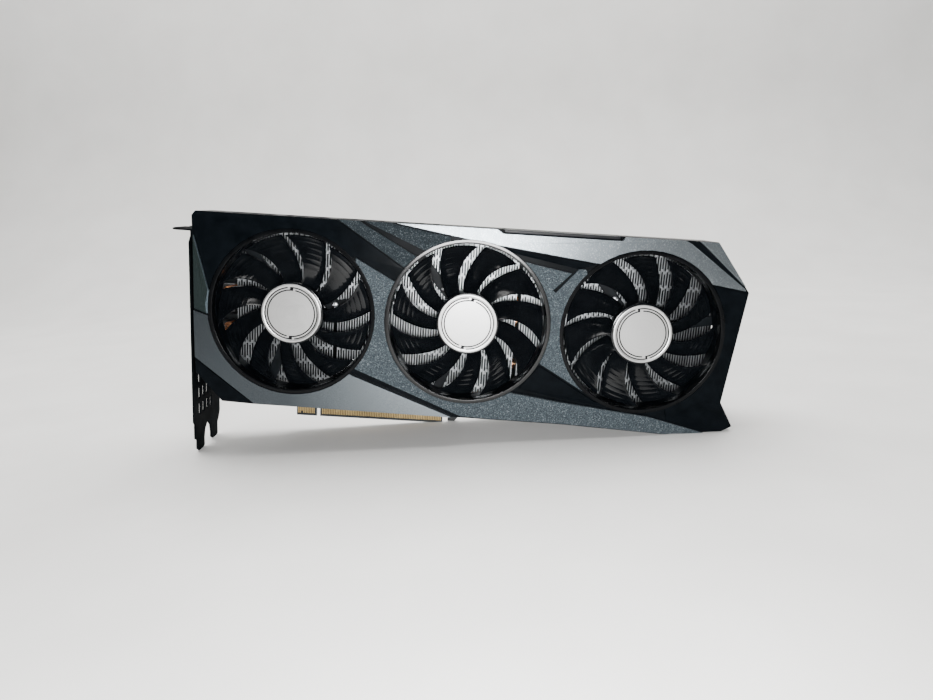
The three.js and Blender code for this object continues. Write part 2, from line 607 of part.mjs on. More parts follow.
const VENT_WIDTH = 2.4;
const VENT_HEIGHT = 6.6;
const VENT_PITCH_Y = 5.4;
const VENT_PITCH_Z = 8.8;
function vent(y, z, x0, x1) {
  const [h, v] = [VENT_WIDTH / 2, VENT_HEIGHT / 2];
  const c = 0.7;
  return crossPlate([
    [y - h, z - v + c], [y - h + c, z - v], [y + h - c, z - v], [y + h, z - v + c], [y + h, z + v - c],
    [y + h - c, z + v], [y - h + c, z + v], [y - h, z + v - c],
  ], x0, x1);
}

function bracket() {
  const [x0, x1] = [BRACKET_X, BRACKET_X + BRACKET_SHEET];
  const y1 = BRACKET_Y0 + BRACKET_WIDTH;
  const flangeY0 = BRACKET_Y0 + 2.6;
  const flange = box(x0 - FLANGE_LENGTH, x1, flangeY0, y1, FLANGE_TOP - BRACKET_SHEET, FLANGE_TOP);
  const corner = disc(x0 - FLANGE_LENGTH, 0, 4.6, 0, 4, 4).rotate([-90, 0, 0]).translate([0, flangeY0, FLANGE_TOP + 2]);
  const notches = [0, 1].map((i) => {
    const y = BRACKET_Y0 + TONGUE_Y + 1.9 + i * SLOT_PITCH;
    return box(x0 - FLANGE_LENGTH - 1, x0 - FLANGE_LENGTH + 6.6, y, y + 4.6, FLANGE_TOP - 3, FLANGE_TOP + 1);
  });
  const windows = ports.map(({ z, half, high }) =>
    box(x0 - 1, x1 + 1, PORT_BACK - high - 1.5, PORT_BACK + 0.5, z - half - 1, z + half + 1));
  const vents = [];
  for (let row = 0; row < 11; row++) {
    for (let column = 0; column < (row ? 3 : 4); column++) {
      const z = TONGUE_TIP + 23.6 + row * VENT_PITCH_Z;
      vents.push(vent(BRACKET_Y0 + 8.4 + column * VENT_PITCH_Y, z, x0 - 1, x1 + 1));
    }
  }
  return without(joined([crossPlate(bracketOutline(), x0, x1), flange]), [corner, ...notches, ...windows, ...vents]);
}
add("io_bracket", bracket(), MATERIAL.bracket);

// ---------- backplate and fasteners ----------
function backplate() {
  const sheet = plate([
    [-139, -42], [-126, BOARD_BOTTOM + 2], [-100, BOARD_BOTTOM + 2], [-96, BOARD_BOTTOM + 8], [4, BOARD_BOTTOM + 8],
    [8, BOARD_BOTTOM + 2], [84, BOARD_BOTTOM + 2], [98, -50.5], [135, -49.4], [133, -33], [139.4, 24], [121, 47],
    [-133, 47], [-139, 40],
  ], BACKPLATE_FRONT, BACKPLATE_BACK);
  const slots = [0, 1, 2, 3, 4].map((i) => {
    const x = 92 + i * 8;
    const z = 34 - i * 2.4;
    return plate([[x, -36], [x + 3.6, -36], [x + 6.6, z], [x + 3, z]], BOARD_FRONT, BACKPLATE_BACK + 1);
  });
  const coolerHoles = coolerScrews.map(([x, z]) => disc(x, z, 3.4, BOARD_FRONT, BACKPLATE_BACK + 1, 16));
  const screwHoles = plateScrews.map(([x, z]) => disc(x, z, 1.5, BOARD_FRONT, BACKPLATE_BACK + 1, 12));
  return without(sheet, [...slots, ...coolerHoles, ...screwHoles]);
}
add("backplate", backplate(), MATERIAL.shell);

const screw = (x, z, headR, headBack, headFront, stemR, stemFront) => turned(x, z, [
  [0, headBack], [headR, headBack], [headR, headFront], [stemR, headFront], [stemR, stemFront], [0, stemFront],
], 12);
coolerScrews.forEach(([x, z], i) => {
  const body = screw(x, z, 2.9, BACKPLATE_BACK - 0.4, BOARD_BACK + 0.2, 1.5, BOARD_FRONT - 2.1);
  add("cooler_screw_" + (i + 1), body, MATERIAL.steel);
});
plateScrews.forEach(([x, z], i) => {
  const body = screw(x, z, 2.5, BACKPLATE_BACK + 0.9, BACKPLATE_BACK + 0.1, 1.1, BOARD_FRONT + 0.4);
  add("backplate_screw_" + (i + 1), body, MATERIAL.steel);
});

export default card;
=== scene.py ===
"""A dual-slot graphics card with three axial fans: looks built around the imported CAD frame.

Lengths are in millimetres in the face frame: x runs to the tail, y is the depth behind the front plane and
z is the height above the fan axes. FACE turns it into the row frame, in metres.
"""

import json
import math
import random

import bmesh
import bpy
from mathutils import Matrix, Vector


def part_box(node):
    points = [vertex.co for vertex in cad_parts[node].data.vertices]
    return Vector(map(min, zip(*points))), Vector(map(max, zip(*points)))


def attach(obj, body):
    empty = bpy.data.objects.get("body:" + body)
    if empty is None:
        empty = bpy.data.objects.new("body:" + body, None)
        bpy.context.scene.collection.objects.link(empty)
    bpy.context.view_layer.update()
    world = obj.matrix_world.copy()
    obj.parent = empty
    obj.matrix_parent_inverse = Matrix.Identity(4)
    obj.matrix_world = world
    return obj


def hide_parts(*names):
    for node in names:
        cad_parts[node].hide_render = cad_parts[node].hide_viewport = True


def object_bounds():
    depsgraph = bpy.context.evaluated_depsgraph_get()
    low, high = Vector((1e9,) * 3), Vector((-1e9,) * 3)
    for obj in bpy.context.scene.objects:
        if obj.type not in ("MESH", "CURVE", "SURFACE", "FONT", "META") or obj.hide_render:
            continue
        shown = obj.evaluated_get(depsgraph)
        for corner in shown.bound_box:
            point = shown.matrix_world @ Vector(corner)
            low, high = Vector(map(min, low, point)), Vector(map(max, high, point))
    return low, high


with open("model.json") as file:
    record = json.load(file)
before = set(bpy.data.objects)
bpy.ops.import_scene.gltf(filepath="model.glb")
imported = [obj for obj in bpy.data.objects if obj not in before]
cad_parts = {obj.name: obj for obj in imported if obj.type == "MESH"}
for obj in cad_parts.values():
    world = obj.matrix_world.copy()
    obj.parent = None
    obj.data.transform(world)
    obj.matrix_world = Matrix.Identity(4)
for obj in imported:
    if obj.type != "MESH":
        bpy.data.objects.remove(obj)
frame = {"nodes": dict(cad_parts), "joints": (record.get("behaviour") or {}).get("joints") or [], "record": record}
cad_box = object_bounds()

MM = 0.001
SIDES = ("left", "middle", "right")
JOINT_AT = {joint["name"]: Vector(joint["pos_m"]) for joint in frame["joints"]}
AXIS = {side: JOINT_AT[f"fan_{side}_spin"] for side in SIDES}
FACE_ORIGIN = Vector((AXIS["middle"].x, cad_box[0].y, AXIS["middle"].z))
FACE = Matrix.Translation(FACE_ORIGIN) @ Matrix.Diagonal((MM, MM, MM, 1))
FAN_X = {side: (AXIS[side].x - AXIS["middle"].x) / MM for side in SIDES}

SLOT_OF_NODE = {part["node"]: part["material_slot"] for part in frame["record"]["subparts"]}


def face_box(node):
    """The CAD node's box as (x0, x1, y0, y1, z0, z1) in the face frame."""
    lo, hi = ((p - FACE_ORIGIN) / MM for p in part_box(node))
    return lo.x, hi.x, lo.y, hi.y, lo.z, hi.z


# ---------- mesh building ----------
MERGE_DISTANCE = 1e-4
SMOOTH_ANGLE = 35
BEVEL_ANGLE = 30


class Build:
    """Collects closed surfaces in the face frame and turns them into one piece."""

    def __init__(self):
        self.bm = bmesh.new()

    def quads(self, rings, closed=True, material=0):
        """Joins neighbouring rings of points with quads and returns the rings of vertices."""
        made = [[self.bm.verts.new(p) for p in ring] for ring in rings]
        count = len(made[0])
        for a, b in zip(made, made[1:]):
            for i in range(count if closed else count - 1):
                j = (i + 1) % count
                self.bm.faces.new((a[i], a[j], b[j], b[i])).material_index = material
        return made

    def tube(self, rings, material=0):
        """A closed body through the rings, with both ends capped."""
        made = self.quads(rings, material=material)
        self.bm.faces.new(reversed(made[0])).material_index = material
        self.bm.faces.new(made[-1]).material_index = material

    def lathe(self, profile, x=0, z=0, segments=96, material=0, ring=False):
        """A body turned about a depth axis at (x, z).

        The profile holds (radius, depth) points, and ring=True closes it on itself.
        """
        rings = []
        for i in range(segments):
            a = 2 * math.pi * i / segments
            rings.append([(x + r * math.cos(a), y, z + r * math.sin(a)) for r, y in profile])
        made = self.quads(rings, closed=ring, material=material)
        first, last = made[0], made[-1]
        count = len(profile)
        for i in range(count if ring else count - 1):
            j = (i + 1) % count
            self.bm.faces.new((last[i], last[j], first[j], first[i])).material_index = material

    def block(self, x0, x1, y0, y1, z0, z1, bevel=0.2, material=0):
        """A box with chamfered long edges and softened ends."""
        b = min(bevel, (x1 - x0) / 3, (y1 - y0) / 3, (z1 - z0) / 3)
        rings = []
        for z, inset in ((z0, b), (z0 + b, 0), (z1 - b, 0), (z1, b)):
            u0, u1, v0, v1 = x0 + inset, x1 - inset, y0 + inset, y1 - inset
            rings.append([
                (u0 + b, v0, z), (u1 - b, v0, z), (u1, v0 + b, z), (u1, v1 - b, z),
                (u1 - b, v1, z), (u0 + b, v1, z), (u0, v1 - b, z), (u0, v0 + b, z),
            ])
        self.tube(rings, material)

    def piece(self, name, materials, body="card", replaces=(), at=None):
        """Finishes the mesh as an object that rides on a body.

        If the point at is given, the mesh is around it and the object's origin is there.
        """
        bmesh.ops.remove_doubles(self.bm, verts=self.bm.verts, dist=MERGE_DISTANCE)
        bmesh.ops.recalc_face_normals(self.bm, faces=self.bm.faces)
        mesh = bpy.data.meshes.new(name)
        self.bm.to_mesh(mesh)
        self.bm.free()
        mesh.transform(FACE if at is None else Matrix.Scale(MM, 4))
        for m in materials:
            mesh.materials.append(m)
        mesh.shade_smooth()
        mesh.set_sharp_from_angle(angle=math.radians(SMOOTH_ANGLE))
        obj = bpy.data.objects.new(name, mesh)
        if at is not None:
            obj.location = FACE @ Vector(at)
        bpy.context.scene.collection.objects.link(obj)
        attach(obj, body)
        if replaces:
            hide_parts(*replaces)


def soften(obj, width, segments):
    """Small rounded edges with even shading over the flats."""
    bevel = obj.modifiers.new("edges", "BEVEL")
    bevel.width = width * MM
    bevel.segments = segments
    bevel.limit_method = "ANGLE"
    bevel.angle_limit = math.radians(BEVEL_ANGLE)
    bevel.harden_normals = False
    shade = obj.modifiers.new("shade", "WEIGHTED_NORMAL")
    shade.keep_sharp = True


# ---------- materials ----------
# Noise is spread between these two values before it drives a colour or a roughness.
NOISE_LOW = 0.3
NOISE_HIGH = 0.7


class Nodes:
    """A node material under construction. Lengths are in millimetres."""

    def __init__(self, name, **principled):
        self.material = bpy.data.materials.new(name)
        self.material.use_nodes = True
        self.tree = self.material.node_tree
        self.shader = self.tree.nodes["Principled BSDF"]
        for socket, value in principled.items():
            self.shader.inputs[socket.replace("_", " ")].default_value = value
        self.place = self.tree.nodes.new("ShaderNodeTexCoord").outputs["Object"]

    def add(self, kind, **settings):
        node = self.tree.nodes.new("ShaderNode" + kind)
        for key, value in settings.items():
            setattr(node, key, value)
        return node

    def link(self, a, b):
        self.tree.links.new(a, b)

    def stretched(self, scale):
        node = self.add("Mapping")
        node.inputs["Scale"].default_value = scale
        self.link(self.place, node.inputs["Vector"])
        return node.outputs["Vector"]

    def noise(self, size, detail=2.0, vector=None):
        """Noise whose features are about this size."""
        node = self.add("TexNoise")
        node.inputs["Scale"].default_value = 1 / (size * MM)
        node.inputs["Detail"].default_value = detail
        self.link(vector or self.place, node.inputs["Vector"])
        return node.outputs["Fac"]

    def cells(self, size):
        """A random number for each cell of about this size."""
        node = self.add("TexVoronoi")
        node.inputs["Scale"].default_value = 1 / (size * MM)
        self.link(self.place, node.inputs["Vector"])
        split = self.add("SeparateColor")
        self.link(node.outputs["Color"], split.inputs["Color"])
        return split.outputs["Red"]

    def ramp(self, value, low, high, start=NOISE_LOW, end=NOISE_HIGH):
        """Turns a value into a colour between low and high."""
        node = self.add("ValToRGB")
        node.color_ramp.elements[0].position = start
        node.color_ramp.elements[0].color = (*low, 1)
        node.color_ramp.elements[1].position = end
        node.color_ramp.elements[1].color = (*high, 1)
        self.link(value, node.inputs["Fac"])
        return node.outputs["Color"]

    def remap(self, value, from_low, from_high, low, high):
        node = self.add("MapRange")
        node.inputs["From Min"].default_value = from_low
        node.inputs["From Max"].default_value = from_high
        node.inputs["To Min"].default_value = low
        node.inputs["To Max"].default_value = high
        self.link(value, node.inputs["Value"])
        return node.outputs["Result"]

    def spread(self, value, low, high):
        return self.remap(value, NOISE_LOW, NOISE_HIGH, low, high)

    def mix(self, share, a, b):
        node = self.add("Mix", data_type="RGBA")
        self.link(share, node.inputs["Factor"])
        self.link(a, node.inputs["A"])
        self.link(b, node.inputs["B"])
        return node.outputs["Result"]

    def color(self, value):
        self.link(value, self.shader.inputs["Base Color"])

    def rough(self, value):
        self.link(value, self.shader.inputs["Roughness"])

    def bump(self, height, strength, depth=0.05):
        node = self.add("Bump")
        node.inputs["Strength"].default_value = strength
        node.inputs["Distance"].default_value = depth * MM
        self.link(height, node.inputs["Height"])
        self.link(node.outputs["Normal"], self.shader.inputs["Normal"])


def moulded(name, low, high, rough, grain=0.25, bump=0.25, **principled):
    """Moulded plastic or powder coat: a fine grain, with slow changes of tone and gloss."""
    tone_size, gloss_size = 6, 11
    n = Nodes(name, **principled)
    n.color(n.ramp(n.noise(tone_size, 3), low, high))
    n.rough(n.spread(n.noise(gloss_size, 4), *rough))
    n.bump(n.noise(grain, 2), bump)
    return n.material


SPECKLE_SIZE = 0.3
SPECKLE_BUMP = {"strength": 0.35, "depth": 0.04}
SPECKLE_GLOSS_SIZE = 9


def speckled(name, low, high, flake, rough=(0.42, 0.55), **principled):
    """Dark plastic or paint with fine flakes in it."""
    flake_size, glint_size = 0.36, 3
    black, white = (0, 0, 0), (1, 1, 1)
    dull_flake = tuple(c * 0.6 for c in flake)
    n = Nodes(name, **principled)
    grain = n.ramp(n.noise(SPECKLE_SIZE, 1), low, high)
    flakes = n.ramp(n.cells(flake_size), black, white, 0.8, 1.0)
    glint = n.ramp(n.noise(glint_size, 2), flake, dull_flake)
    share = n.add("RGBToBW")
    n.link(flakes, share.inputs["Color"])
    n.color(n.mix(share.outputs["Val"], grain, glint))
    n.rough(n.spread(n.noise(SPECKLE_GLOSS_SIZE, 3), *rough))
    n.bump(n.noise(SPECKLE_SIZE, 2), **SPECKLE_BUMP)
    return n.material


def tone_blend(name, share_of, first, second, rough, **principled):
    """The speckled finish, without flakes, in two tones that share_of(nodes) blends: on the trim its two tones, on
    the lower accent a painted shade and a painted highlight.
    """
    n = Nodes(name, **principled)
    share = share_of(n)
    grain = n.noise(SPECKLE_SIZE, 1)
    n.color(n.mix(share, n.ramp(grain, *first), n.ramp(grain, *second)))
    n.rough(n.spread(n.noise(SPECKLE_GLOSS_SIZE, 3), *rough))
    n.bump(n.noise(SPECKLE_SIZE, 2), **SPECKLE_BUMP)
    return n.material


def leans_left(n):
    """1 where a face leans towards the bracket end, 0 where it is flat."""
    steepness = (-5, 0, 0)
    lean = n.add("VectorMath", operation="DOT_PRODUCT")
    n.link(n.add("NewGeometry").outputs["True Normal"], lean.inputs[0])
    lean.inputs[1].default_value = steepness
    return n.spread(lean.outputs["Value"], 0, 1)


def painted_highlight_share(n):
    """Painted highlight on the lower accent: 0, painted shade, at its bracket end, and 1, painted highlight, near
    its inner corner.
    """
    start, end = -90, -20
    split = n.add("SeparateXYZ")
    n.link(n.place, split.inputs["Vector"])
    return n.remap(split.outputs["X"], FACE_ORIGIN.x + start * MM, FACE_ORIGIN.x + end * MM, 0, 1)


def metal(name, low, high, rough, stretch=(1, 1, 1), grain=0.3, bump=0.15):
    """Bare metal with a drawn or cast grain."""
    gloss_size, grain_depth = 7, 0.02
    n = Nodes(name, Metallic=1.0)
    lines = n.noise(grain, 3, n.stretched(stretch))
    n.color(n.ramp(lines, low, high))
    n.rough(n.spread(n.noise(gloss_size, 3), *rough))
    n.bump(lines, bump, grain_depth)
    return n.material


def spun(name, low, high, rough):
    """Metal turned about the piece's own depth axis: fine circular lines under a satin film."""
    line_pitch, line_bump, line_depth, gloss_size = 0.22, 0.12, 0.01, 2.2
    n = Nodes(name, Metallic=0.85)
    flat = n.stretched((1, 0, 1))
    away = n.add("VectorMath", operation="LENGTH")
    n.link(flat, away.inputs[0])
    lines = n.add("TexNoise", noise_dimensions="1D")
    lines.inputs["Scale"].default_value = 1 / (line_pitch * MM)
    lines.inputs["Detail"].default_value = 3
    n.link(away.outputs["Value"], lines.inputs["W"])
    n.color(n.ramp(lines.outputs["Fac"], low, high))
    n.rough(n.spread(n.noise(gloss_size, 4), *rough))
    n.bump(lines.outputs["Fac"], line_bump, line_depth)
    return n.material


BLACK = ((0.0016, 0.0024, 0.0032), (0.0032, 0.0045, 0.006))
CARRIER_BLACK = ((0.003, 0.004, 0.005), (0.007, 0.009, 0.011))
FAN_BLACK = ((0.002, 0.0026, 0.0034), (0.004, 0.005, 0.0062))
LIP_BLACK = ((0.0015, 0.0018, 0.0022), (0.003, 0.0034, 0.004))
COAT_BLACK = ((0.0016, 0.002, 0.0026), (0.004, 0.005, 0.006))
BACKPLATE_GREY = ((0.006, 0.008, 0.01), (0.014, 0.017, 0.02))
SMOKE = ((0.006, 0.007, 0.009), (0.012, 0.013, 0.016))
SOLDER_MASK = ((0.003, 0.005, 0.006), (0.008, 0.012, 0.013))
SPECKLE = ((0.012, 0.016, 0.019), (0.066, 0.082, 0.093), (0.17, 0.195, 0.21))
# Darker tones of the speckled plastic: painted shade for the upper bands.
SPECKLE_PAINTED_SHADE = ((0.006, 0.008, 0.01), (0.028, 0.036, 0.041), (0.09, 0.105, 0.115))
SILVER = ((0.1, 0.117, 0.13), (0.165, 0.187, 0.2), (0.3, 0.33, 0.35))
# The lower accent's silver in painted shade and in painted highlight.
SILVER_PAINTED_SHADE = ((0.035, 0.042, 0.048), (0.06, 0.07, 0.078))
SILVER_PAINTED_HIGHLIGHT = ((0.13, 0.15, 0.165), (0.2, 0.225, 0.24))
TRIM_FRONT = ((0.02, 0.028, 0.033), (0.1, 0.13, 0.15))
TRIM_SIDE = ((0.007, 0.011, 0.011), (0.018, 0.026, 0.026))
ALUMINIUM = ((0.2, 0.212, 0.22), (0.33, 0.345, 0.355))
# A darker copy of the fin aluminium: painted shade deep between the fins.
ALUMINIUM_PAINTED_SHADE = ((0.03, 0.032, 0.035), (0.07, 0.074, 0.08))
COPPER = ((0.62, 0.25, 0.12), (0.83, 0.42, 0.23))
GOLD = ((0.62, 0.42, 0.16), (0.83, 0.62, 0.3))
STEEL = ((0.5, 0.51, 0.53), (0.68, 0.68, 0.7))
# Darker steel, painted shade on the video ports inside the card.
STEEL_PAINTED_SHADE = ((0.1, 0.102, 0.106), (0.17, 0.172, 0.178))
CAP_SILVER = ((0.4, 0.4, 0.4), (0.53, 0.53, 0.525))
SILVER_GLOSS = (0.28, 0.33)
ALONG_FIN = (1, 1, 0.06)
ALONG_PIPE = (0.1, 1, 1)

MATERIAL = {
    "shroud_plastic": moulded("black_moulded", *BLACK, (0.3, 0.4), Specular_IOR_Level=0.03),
    "panel_black": moulded(
        "black_satin", *BLACK, (0.19, 0.26), grain=0.3, bump=0.08, Specular_IOR_Level=0.02,
    ),
    "panel_speckled": speckled("speckled_plastic", *SPECKLE, Specular_IOR_Level=0.015),
    "silver_accent": speckled("silver_paint", *SILVER, SILVER_GLOSS, Metallic=0.85),
    "fan_plastic": moulded(
        "gloss_black", *FAN_BLACK, (0.1, 0.2), grain=1.4, bump=0.04,
        Specular_IOR_Level=0.3, Coat_Weight=0.15, Coat_Roughness=0.06,
    ),
    "carrier_plastic": moulded("carrier_black", *CARRIER_BLACK, (0.35, 0.5), Specular_IOR_Level=0.08),
    "cap_metal": spun("cap_metal", *CAP_SILVER, (0.31, 0.36)),
    "steel": metal("bright_steel", *STEEL, (0.2, 0.34)),
    "fin_aluminium": metal("fin_aluminium", *ALUMINIUM, (0.36, 0.44), ALONG_FIN, 0.25),
    "copper": metal("copper", *COPPER, (0.22, 0.36), ALONG_PIPE),
    "board": moulded("solder_mask", *SOLDER_MASK, (0.28, 0.4), grain=0.8, bump=0.12, Coat_Weight=0.3),
    "gold": metal("gold_plating", *GOLD, (0.2, 0.3)),
    "chip_package": moulded(
        "epoxy_chip", (0.008, 0.009, 0.01), (0.018, 0.019, 0.021), (0.4, 0.55), 0.12, 0.3,
    ),
    "socket_plastic": moulded(
        "socket_nylon", (0.006, 0.006, 0.007), (0.013, 0.013, 0.014), (0.42, 0.55), 0.2, 0.3,
    ),
    "bracket_metal": moulded("bracket_coat", *COAT_BLACK, (0.5, 0.6), 0.3, 0.2, Specular_IOR_Level=0.005),
    "backplate_metal": moulded("backplate_coat", *BACKPLATE_GREY, (0.36, 0.46), 0.3, 0.3, Metallic=0.4),
    "light_bar_lens": moulded("smoked_lens", *SMOKE, (0.3, 0.4), 2, 0.05, Specular_IOR_Level=0.15),
}
INK = moulded("dark_ink", (0.003, 0.003, 0.0035), (0.007, 0.007, 0.008), (0.5, 0.6), Specular_IOR_Level=0.1)
LIP_GLOSS = {"left": 0.08, "middle": 0.3, "right": 0.08}
LIP = {
    side: moulded(
        f"gloss_lip_{side}", *LIP_BLACK, (0.16, 0.18), 1.4, 0.01, Specular_IOR_Level=LIP_GLOSS[side],
    )
    for side in SIDES
}
# The upper bands get a darker copy of the speckled plastic, painted shade for the less light they get than the
# lower face.
UPPER_SPECKLE_PAINTED_SHADE = speckled("speckled_painted_shade", *SPECKLE_PAINTED_SHADE, Specular_IOR_Level=0.01)
# The lower accent's silver: painted shade at the bracket end, a painted highlight near the inner corner.
LOW_SILVER_PAINTED_HIGHLIGHT = tone_blend("silver_paint_low_painted_highlight", painted_highlight_share, SILVER_PAINTED_SHADE, SILVER_PAINTED_HIGHLIGHT, SILVER_GLOSS, Metallic=0.85)
TRIM = tone_blend("two_tone_trim", leans_left, TRIM_FRONT, TRIM_SIDE, (0.42, 0.55), Specular_IOR_Level=0.08)
FERRITE = moulded("ferrite", (0.05, 0.052, 0.055), (0.085, 0.088, 0.092), (0.5, 0.65), 0.3, 0.4)
FIN_PAINTED_SHADE = metal("fin_painted_shade", *ALUMINIUM_PAINTED_SHADE, (0.4, 0.5), ALONG_FIN, 0.25)
# The video ports' steel: a darker copy of the bright steel, painted shade inside the card.
PORT_STEEL_PAINTED_SHADE = metal("port_steel_painted_shade", *STEEL_PAINTED_SHADE, (0.3, 0.42))
CERAMIC = moulded("ceramic", (0.2, 0.13, 0.08), (0.3, 0.2, 0.13), (0.4, 0.5), 0.2, 0.1)


# ---------- CAD nodes that stay ----------
EDGE = {"circuit_board": 0.12, "io_bracket": 0.15, "backplate": 0.25, "shroud": 0.4, "light_bar": 0.4}
OTHER_EDGE = 0.22
# Looks that replace a node's slot material: the trim's two tones, the lower accent's painted shade and highlight,
# and painted shade on the upper bands.
FINISH_AND_PAINTED_LIGHT = {"trim_left": TRIM, "accent_lower": LOW_SILVER_PAINTED_HIGHLIGHT, "band_upper": UPPER_SPECKLE_PAINTED_SHADE, "band_top": UPPER_SPECKLE_PAINTED_SHADE}
FACE_PANELS = ("panel", "accent", "band", "trim")
TUBES = "heat_pipe_"
WELD_DISTANCE = 0.001
for name, obj in frame["nodes"].items():
    obj.data.materials.clear()
    obj.data.materials.append(FINISH_AND_PAINTED_LIGHT.get(name) or MATERIAL[SLOT_OF_NODE[name]])
    weld = obj.modifiers.new("weld", "WELD")
    weld.merge_threshold = WELD_DISTANCE * MM
    if name.startswith(TUBES):
        rounder = obj.modifiers.new("round", "SUBSURF")
        rounder.levels = rounder.render_levels = 2
    else:
        soften(obj, EDGE.get(name, OTHER_EDGE), segments=3 if name.startswith(FACE_PANELS) else 2)


# ---------- fans ----------
HUB_R = 15.8
HUB_FRONT = 1.7
HUB_BACK = 11.6
HUB_WALL = 1.4
HUB_FLOOR = HUB_FRONT + HUB_WALL
BOSS_R = 2.6
BORE_R = 1.3

BLADES = 11
FAN_TURN = {"left": 1, "middle": -1, "right": 1}
FAN_PHASE = {"left": 26.3, "middle": 24, "right": 8.4}
BLADE_R = 38.9
BLADE_ROOT = HUB_R - 0.8
BLADE_LEAD = 3.1
BLADE_TRAIL = 11.3
BLADE_THICK = 1.0
BLADE_CAMBER = 1.1
SWEEP = math.radians(23)
# A blade spans CHORD degrees of the circle at its ends, and CHORD_WAIST / 4 less halfway.
CHORD = 27
CHORD_WAIST = 16
TIP_START = 0.985
TIP_THINNING = 0.8

RIB_PITCH = 2.6
RIB_HEIGHT = 0.16
RIB_START_R = 22
RIB_FADE_IN = 4
RIB_FADE_OUT = 1.5
RADIAL_STEPS = 60
CHORD_STEPS = 14


def rib_height(r):
    """How far the ribs stand out of the blade's front at one radius."""
    wave = max(0.0, math.cos(2 * math.pi * (r - HUB_R) / RIB_PITCH)) ** 2
    fade_in = min(1.0, max(0.0, (r - RIB_START_R) / RIB_FADE_IN))
    return wave * RIB_HEIGHT * fade_in * min(1.0, (BLADE_R - r) / RIB_FADE_OUT)


def blade_rings(x, turn, angle):
    """Sections of one blade from root to tip, each a closed loop round its leading and trailing edges."""
    chord = [0.5 - 0.5 * math.cos(math.pi * j / CHORD_STEPS) for j in range(CHORD_STEPS + 1)]
    rings = []
    for i in range(RADIAL_STEPS + 1):
        s = i / RADIAL_STEPS
        r = BLADE_ROOT + (BLADE_R - BLADE_ROOT) * s
        width = math.radians(CHORD - CHORD_WAIST * s * (1 - s))
        past_tip_start = max(0.0, (s - TIP_START) / (1 - TIP_START))
        shrink = math.sqrt(max(0.0, 1 - past_tip_start**2)) * TIP_THINNING + 1 - TIP_THINNING
        rib = rib_height(r)

        def point(c, side):
            a = angle + turn * (SWEEP * s**1.3 + width * (0.5 - c))
            camber = BLADE_CAMBER * math.sin(math.pi * c) * (1 - c)
            middle = BLADE_LEAD + BLADE_THICK / 2 + (BLADE_TRAIL - BLADE_LEAD - BLADE_THICK) * c + camber
            half = BLADE_THICK / 2 * shrink * (1 - abs(2 * c - 1) ** 5) ** 0.2
            ribbed = rib * math.sin(math.pi * c) ** 0.5 if side < 0 else 0
            return (x + r * math.cos(a), middle + side * half - ribbed, r * math.sin(a))

        rings.append([point(c, -1) for c in chord] + [point(c, 1) for c in chord[-2:0:-1]])
    return rings


def fan_rotor(side):
    """A hub cup with a boss for the shaft, and its blades."""
    x = FAN_X[side]
    b = Build()
    b.lathe([
        (0, HUB_FRONT), (HUB_R - 0.6, HUB_FRONT), (HUB_R - 0.2, HUB_FRONT + 0.12), (HUB_R, HUB_FRONT + 0.5),
        (HUB_R, HUB_BACK - 0.3), (HUB_R - 0.3, HUB_BACK), (HUB_R - 1.2, HUB_BACK),
        (HUB_R - HUB_WALL, HUB_BACK - 0.3), (HUB_R - HUB_WALL, HUB_FLOOR + 0.2), (BOSS_R, HUB_FLOOR + 0.2),
        (BOSS_R, HUB_FLOOR + 2), (BORE_R, HUB_FLOOR + 2), (BORE_R, HUB_FLOOR), (0, HUB_FLOOR),
    ], x)
    for i in range(BLADES):
        b.tube(blade_rings(x, FAN_TURN[side], 2 * math.pi * i / BLADES + math.radians(FAN_PHASE[side])))
    b.piece(
        f"fan_blades_{side}", [MATERIAL["fan_plastic"]], f"fan_{side}", [f"fan_rotor_{side}"],
    )


CAP_R = 14.9
CAP_FRONT = 0.5
CAP_BED = CAP_FRONT + 0.16
CAP_BACK = HUB_FRONT - 0.3
CAP_SEGMENTS = 144
# The two printed rings, as inner and outer radii, and how far they are sunk.
INNER = (11.45, 12.1)
OUTER = (12.75, 13.4)
RING_SINK = 0.06
# Two opposite marks break the rings. Their place and their half widths are in degrees.
CAP_MARK = {"left": 89, "middle": 81, "right": 105}
MARK_HALF = 8.75
NOTCH_HALF = 3.75


def fan_cap(side):
    """A turned disc with a raised rim and two fine dark rings, broken at two opposite marks."""
    ring_steps = []
    for inner_r, outer_r in (INNER, OUTER):
        ring_steps += [
            (inner_r, CAP_BED), (inner_r, CAP_BED + RING_SINK),
            (outer_r, CAP_BED + RING_SINK), (outer_r, CAP_BED),
        ]
    b = Build()
    b.lathe([
        (0, CAP_BED), (5, CAP_BED), (11.2, CAP_BED), *ring_steps, (13.6, CAP_BED),
        (13.85, CAP_FRONT + 0.04), (14.1, CAP_FRONT), (14.5, CAP_FRONT), (14.8, CAP_FRONT + 0.08),
        (CAP_R, CAP_FRONT + 0.3), (CAP_R, CAP_BACK - 0.02), (CAP_R - 0.15, CAP_BACK), (0, CAP_BACK),
    ], segments=CAP_SEGMENTS)
    for f in b.bm.faces:
        centre = f.calc_center_median()
        r = math.hypot(centre.x, centre.z)
        turned = (math.degrees(math.atan2(centre.z, centre.x)) - CAP_MARK[side] + 90) % 180 - 90
        inner = INNER[0] < r < INNER[1] and not -MARK_HALF < turned < 0
        outer = OUTER[0] < r < OUTER[1] and not 0 < turned < MARK_HALF
        notch = abs(turned) < NOTCH_HALF and INNER[0] < r < OUTER[1]
        if centre.y < CAP_FRONT + 0.3 and (inner or outer or notch):
            f.material_index = 1
    b.piece(
        f"fan_badge_{side}", [MATERIAL["cap_metal"], INK], f"fan_{side}", [f"fan_cap_{side}"],
        at=(FAN_X[side], 0, 0),
    )


